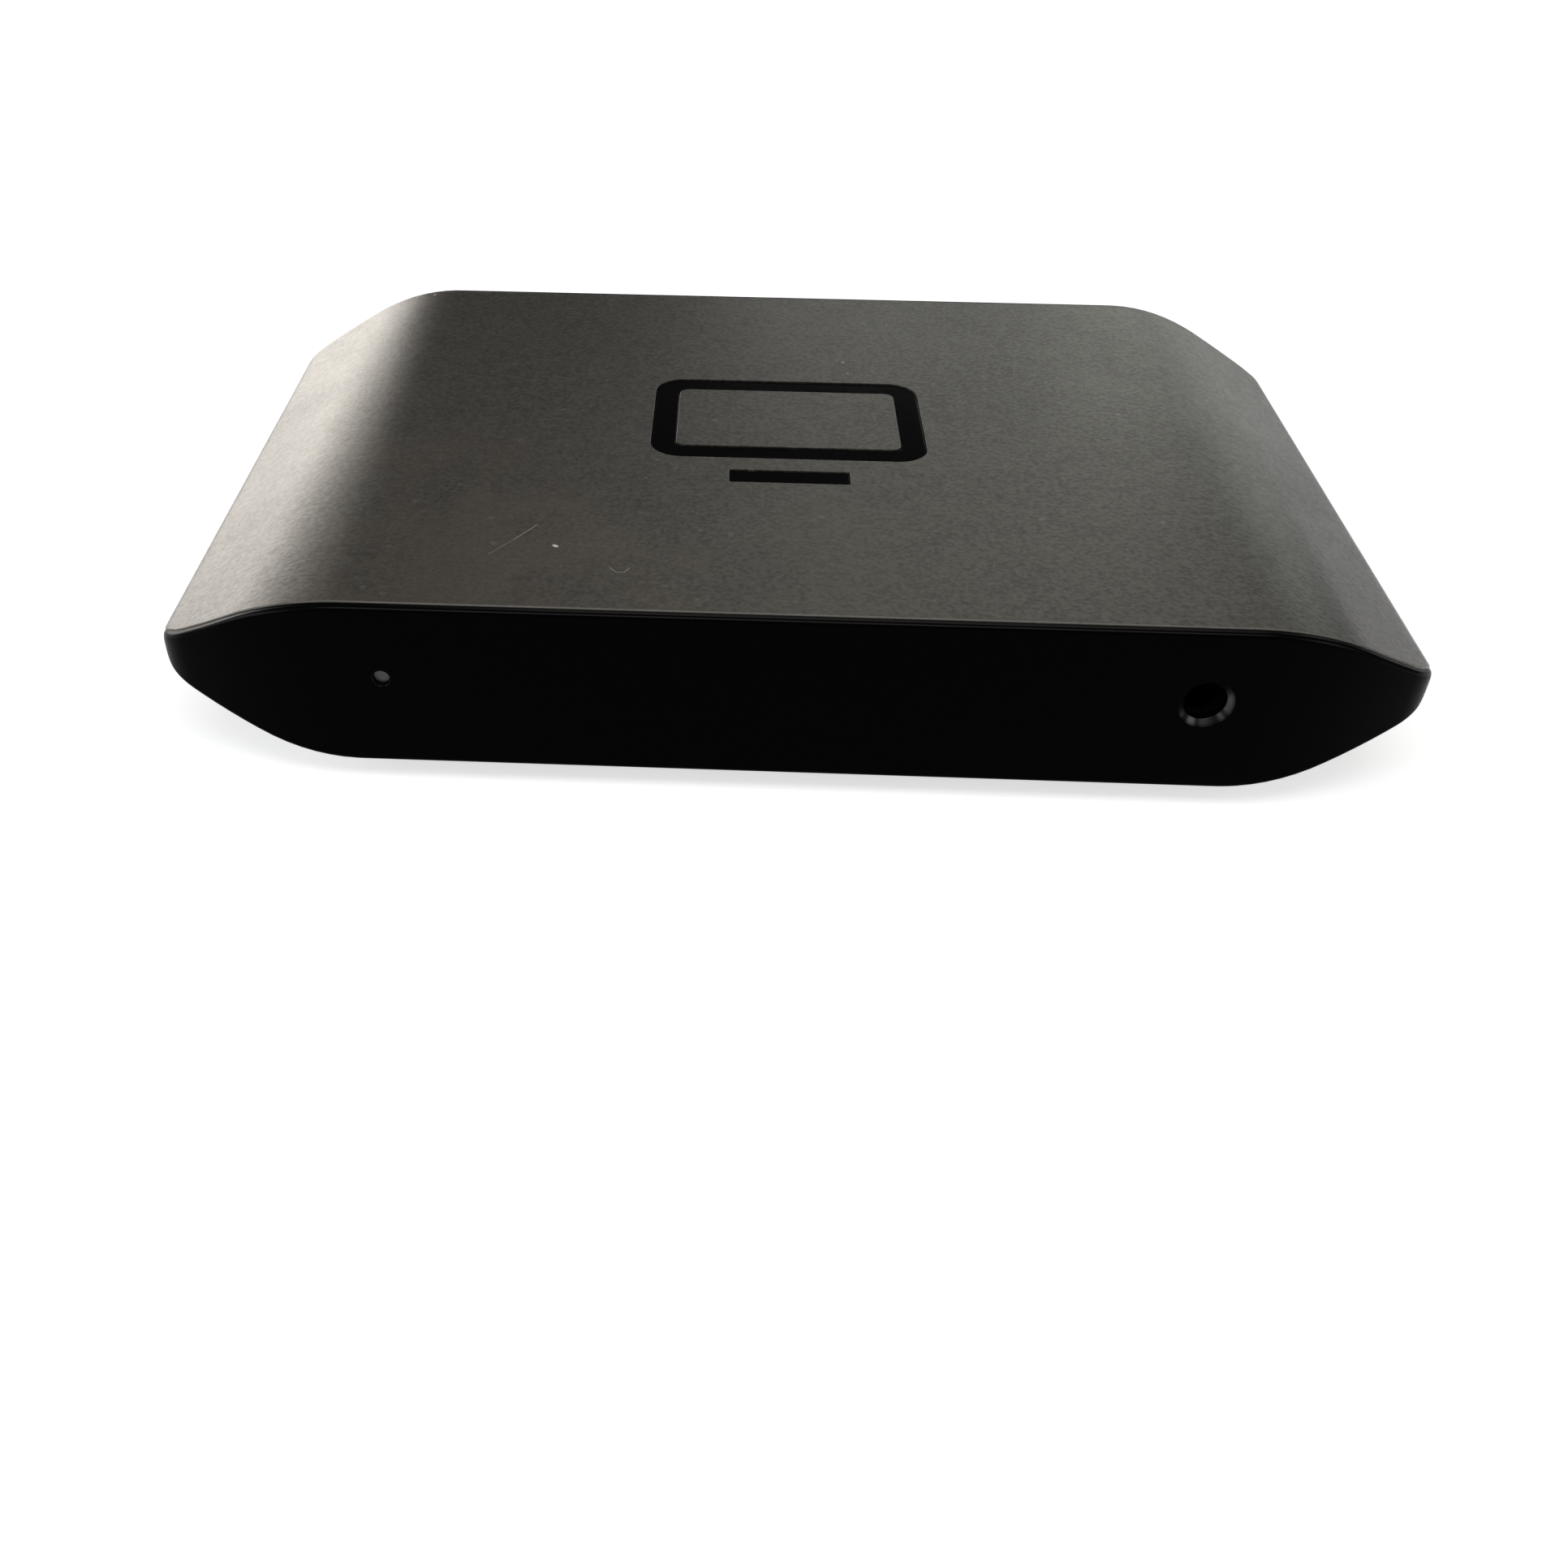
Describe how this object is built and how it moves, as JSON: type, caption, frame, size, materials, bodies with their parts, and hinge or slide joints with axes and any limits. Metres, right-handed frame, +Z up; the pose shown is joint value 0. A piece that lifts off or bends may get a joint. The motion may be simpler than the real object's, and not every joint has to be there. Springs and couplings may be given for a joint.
{
  "type": "video capture box",
  "caption": "Flat six-sided video capture box: grey cover, black end panels, rear video and computer sockets, front lamp and audio socket, board inside.",
  "frame": {"origin": "on the floor, under the middle of the box", "axes": "+X right as seen from the front, +Y towards the rear sockets, +Z up"},
  "size_m": [0.112, 0.072, 0.018],
  "materials": {
    "cover_grey": "fine matte texture",
    "base_black": "fine matte texture",
    "panel_black": "satin",
    "emblem_black": "polished",
    "foot_rubber": "matte",
    "screw_steel": "plated",
    "board_laminate": "solder mask",
    "socket_steel": "plated sheet",
    "insulator_black": "moulded",
    "contact_gold": "plated",
    "pipe_clear": "frosted clear",
    "lamp_lens": "clear lens",
    "chip_black": "moulded",
    "pad_grey": "soft pad",
    "sink_aluminium": "satin",
    "crystal_lid": "satin",
    "inductor_grey": "moulded powder",
    "can_aluminium": "satin",
    "ceramic_tan": "fired"
  },
  "bodies": {
    "root": {"top_cover": "cover_grey", "base_cover": "base_black", "front_panel": "panel_black", "rear_panel": "panel_black", "emblem_inlay": "emblem_black", "foot_front_left": "foot_rubber", "foot_front_right": "foot_rubber", "foot_rear_left": "foot_rubber", "foot_rear_right": "foot_rubber", "case_screws": "screw_steel", "circuit_board": "board_laminate", "board_screws": "screw_steel", "hdmi_in_shell": "socket_steel", "hdmi_in_tongue": "insulator_black", "hdmi_in_contacts": "contact_gold", "hdmi_out_shell": "socket_steel", "hdmi_out_tongue": "insulator_black", "hdmi_out_contacts": "contact_gold", "usb_c_shell": "socket_steel", "usb_c_tongue": "insulator_black", "usb_c_contacts": "contact_gold", "audio_jack_body": "insulator_black", "audio_jack_contacts": "contact_gold", "light_pipe": "pipe_clear", "status_led": "lamp_lens", "video_processor": "chip_black", "thermal_pad": "pad_grey", "heat_sink": "sink_aluminium", "memory_chip_a": "chip_black", "memory_chip_b": "chip_black", "video_receiver": "chip_black", "usb_controller": "chip_black", "flash_chip": "chip_black", "audio_codec": "chip_black", "crystals": "crystal_lid", "power_inductors": "inductor_grey", "bulk_capacitors": "can_aluminium", "ceramic_capacitors": "ceramic_tan", "regulators": "chip_black", "surge_guards": "chip_black"}
  },
  "joints": []
}
